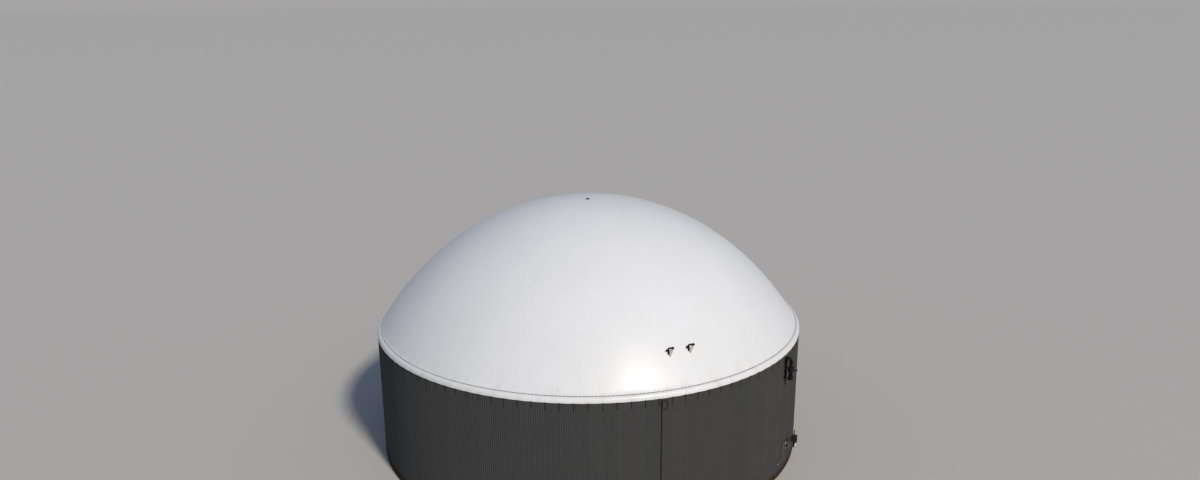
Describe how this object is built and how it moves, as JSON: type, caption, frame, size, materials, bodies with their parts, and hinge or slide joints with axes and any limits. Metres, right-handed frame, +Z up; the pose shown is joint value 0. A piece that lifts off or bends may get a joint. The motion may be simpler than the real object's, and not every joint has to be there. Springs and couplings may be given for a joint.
{
  "type": "biogas digester",
  "caption": "Round insulated digester tank in ribbed dark cladding, under a white membrane gas dome clamped to the wall head, with vents, a relief valve, a drain and an access hatch.",
  "frame": {"origin": "middle of the tank's base, at ground level", "axes": "+Z up, -Y towards the front that the picture shows, +X to the right of it"},
  "size_m": [27.6, 27.6, 16.1165],
  "materials": {
    "concrete": "cast, grey",
    "cladding": "coated anthracite sheet",
    "membrane": "white coated fabric, satin",
    "galvanised": "galvanised",
    "black_plastic": "matt black",
    "sleeve": "pale grey coated fabric",
    "white_paint": "white paint"
  },
  "bodies": {
    "root": {"floor_slab": "concrete", "tank_wall_1": "concrete", "tank_wall_2": "concrete", "tank_wall_3": "concrete", "tank_wall_4": "concrete", "tank_wall_5": "concrete", "tank_wall_6": "concrete", "tank_wall_7": "concrete", "tank_wall_8": "concrete", "cladding_1": "cladding", "cladding_2": "cladding", "cladding_3": "cladding", "cladding_4": "cladding", "cladding_5": "cladding", "cladding_6": "cladding", "cladding_7": "cladding", "cladding_8": "cladding", "edge_skirt": "membrane", "clamp_rail": "galvanised", "dome_membrane": "membrane", "apex_fitting": "galvanised", "vent_1_sleeve": "sleeve", "vent_1_neck": "black_plastic", "vent_2_sleeve": "sleeve", "vent_2_neck": "black_plastic", "membrane_stud_1": "white_paint", "membrane_stud_2": "white_paint", "cable_duct": "black_plastic", "conduit_bow": "black_plastic", "relief_pipe": "black_plastic", "relief_elbow": "black_plastic", "relief_valve": "black_plastic", "relief_pot": "black_plastic", "relief_outlet": "galvanised", "relief_bracket": "galvanised", "drain_pipe": "galvanised", "drain_valve": "black_plastic", "drain_flange": "white_paint", "service_pipe": "galvanised", "hatch_frame": "cladding", "hatch_cover": "cladding", "feed_stub_1": "black_plastic", "feed_cap_1": "galvanised", "feed_stub_2": "black_plastic", "feed_cap_2": "galvanised", "sample_box": "white_paint"}
  },
  "joints": []
}
